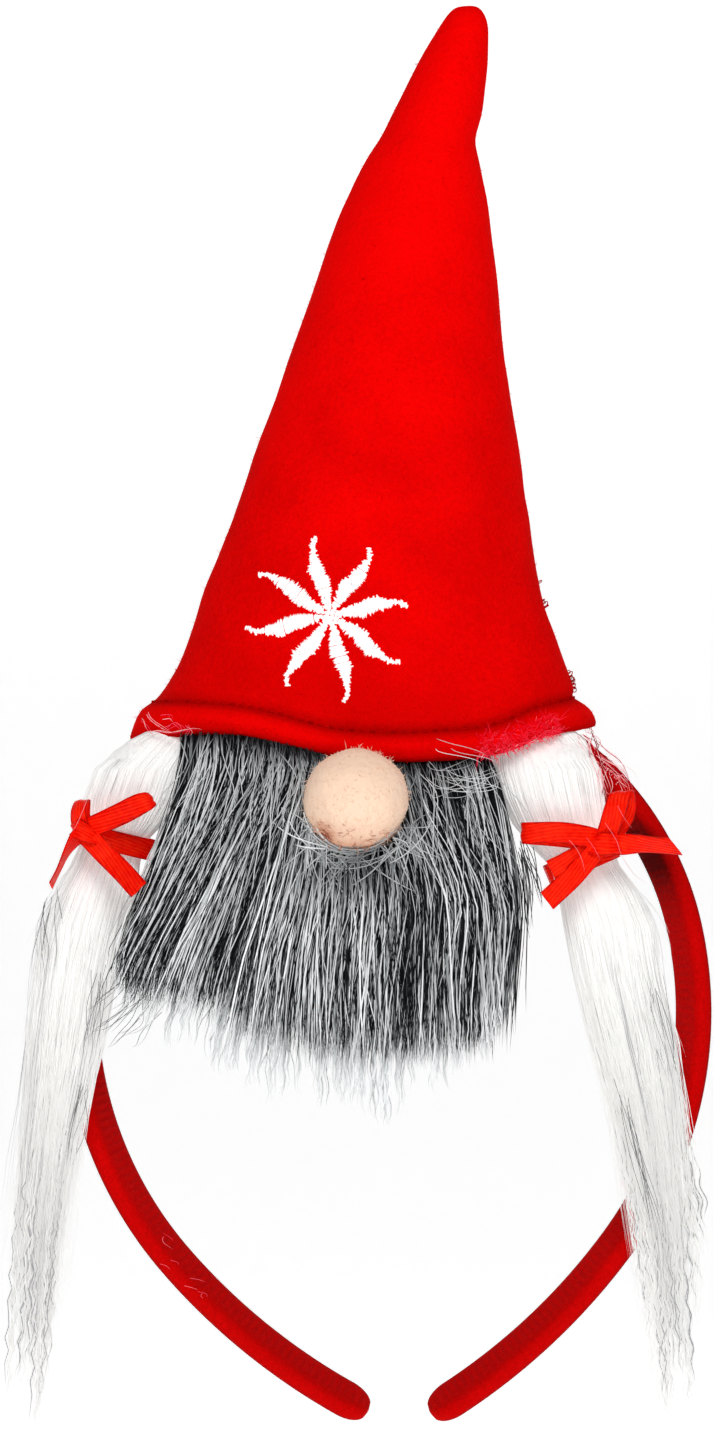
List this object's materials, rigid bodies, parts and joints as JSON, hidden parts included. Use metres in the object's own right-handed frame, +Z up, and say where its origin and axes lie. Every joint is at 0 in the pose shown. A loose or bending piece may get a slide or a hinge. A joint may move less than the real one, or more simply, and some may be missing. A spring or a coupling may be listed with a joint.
{
  "type": "gnome headband",
  "caption": "Velvet hairband carrying a tall stuffed felt gnome hat with a snowflake, a long grey fur beard, a round wool nose and white pigtails tied with ribbon bows.",
  "frame": {"origin": "the middle of the hairband's inner face at its crown, where it rests on the top of a head", "axes": "+Z up along the hat, -Y towards the front with the nose and the snowflake, +X to the right as seen from the front"},
  "size_m": [0.1549, 0.0769, 0.3139],
  "materials": {
    "band_velvet": "short-pile velvet over fine teeth",
    "hat_felt": "brushed felt with a soft nap",
    "wadding": "loose white wadding",
    "stitched_thread": "satin-stitched thread",
    "nose_wool": "needle-felted wool",
    "beard_fur": "long-pile fur, charcoal to silver strands",
    "white_hair": "fine straight synthetic hair",
    "satin_ribbon": "narrow satin ribbon"
  },
  "bodies": {
    "root": {"headband": "band_velvet", "hat": "hat_felt", "hat_wadding": "wadding", "snowflake": "stitched_thread", "nose": "nose_wool", "beard": "beard_fur", "pigtail_left": "white_hair", "pigtail_right": "white_hair", "bow_left": "satin_ribbon", "bow_right": "satin_ribbon"}
  },
  "joints": []
}
